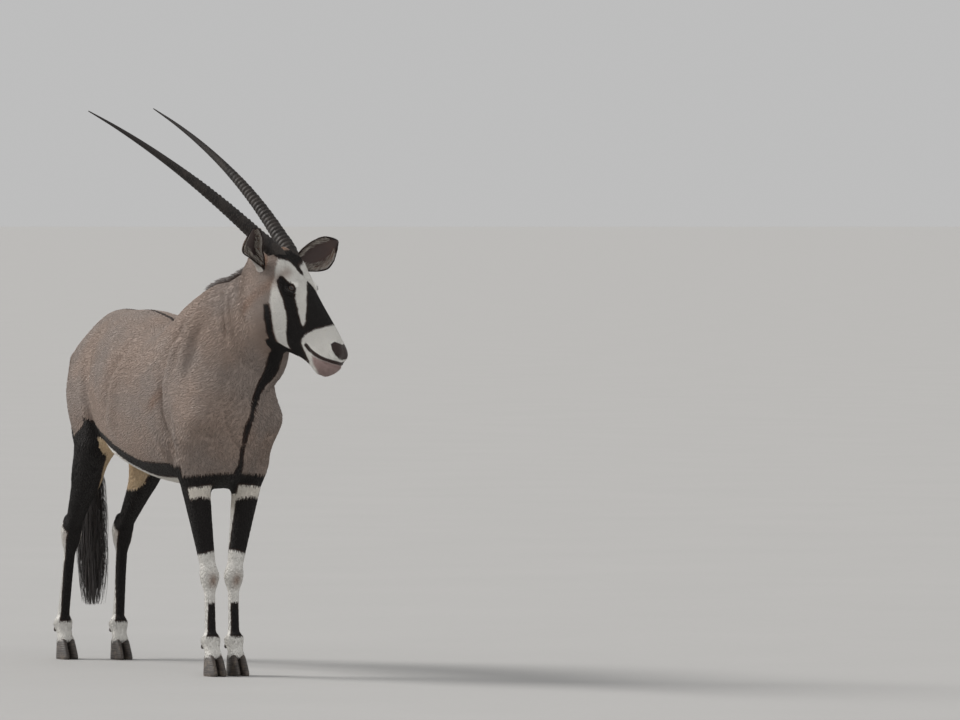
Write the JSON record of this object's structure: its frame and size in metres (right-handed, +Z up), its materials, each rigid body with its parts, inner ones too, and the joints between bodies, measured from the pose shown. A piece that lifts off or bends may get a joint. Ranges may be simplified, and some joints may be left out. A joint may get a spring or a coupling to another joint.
{
  "type": "gemsbok",
  "caption": "Still life-size gemsbok standing square with its head turned to its left: long ringed horns, short mane and a tasselled tail.",
  "frame": {"origin": "middle of the bounding box at the level of the soles", "axes": "+X the way the body faces, +Y the animal's left, +Z up"},
  "size_m": [1.6356, 0.7118, 1.7571],
  "materials": {
    "coat": "short greyish tan hair",
    "face": "short white hair with black patches",
    "dark_coat": "black and white hair of the legs and the tail",
    "horn": "dark ringed horn, satin",
    "claw": "dark hoof horn, satin",
    "eye": "wet dark brown eye"
  },
  "bodies": {
    "root": {"torso": "coat", "neck": "coat", "head": "face", "eye_right": "eye", "ear_right": "coat", "horn_right": "horn", "eye_left": "eye", "ear_left": "coat", "horn_left": "horn", "tail": "dark_coat", "foreleg_right": "dark_coat", "foreleg_left": "dark_coat", "hindleg_right": "dark_coat", "hindleg_left": "dark_coat", "fore_claw_right_outer": "claw", "fore_dewclaw_right_outer": "claw", "fore_claw_right_inner": "claw", "fore_dewclaw_right_inner": "claw", "fore_claw_left_inner": "claw", "fore_dewclaw_left_inner": "claw", "fore_claw_left_outer": "claw", "fore_dewclaw_left_outer": "claw", "hind_claw_right_outer": "claw", "hind_dewclaw_right_outer": "claw", "hind_claw_right_inner": "claw", "hind_dewclaw_right_inner": "claw", "hind_claw_left_inner": "claw", "hind_dewclaw_left_inner": "claw", "hind_claw_left_outer": "claw", "hind_dewclaw_left_outer": "claw"}
  },
  "joints": []
}
